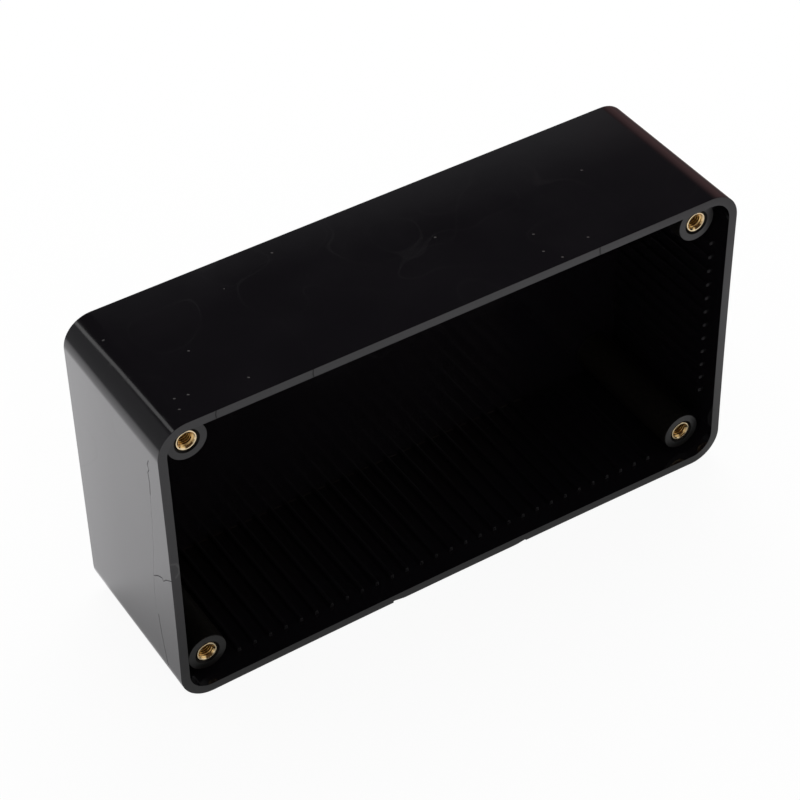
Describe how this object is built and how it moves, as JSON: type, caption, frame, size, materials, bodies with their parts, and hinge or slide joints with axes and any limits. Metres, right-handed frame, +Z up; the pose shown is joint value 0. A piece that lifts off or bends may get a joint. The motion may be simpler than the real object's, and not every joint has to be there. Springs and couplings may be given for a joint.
{
  "type": "project box",
  "caption": "Rectangular plastic housing with rounded corners, open at the front, with board guide ribs and brass inserts in corner bosses for a screwed lid.",
  "frame": {"origin": "bottom centre of the box as it stands on its long side wall", "axes": "+X along the length, -Y out of the opening, +Z up"},
  "size_m": [0.12, 0.0346, 0.0652],
  "materials": {
    "black_plastic": "smooth moulded black plastic, glossy walls and a satin rim",
    "brass": "bright turned brass"
  },
  "bodies": {
    "root": {"box_body": "black_plastic", "insert_upper_left": "brass", "insert_upper_right": "brass", "insert_lower_left": "brass", "insert_lower_right": "brass"}
  },
  "joints": []
}
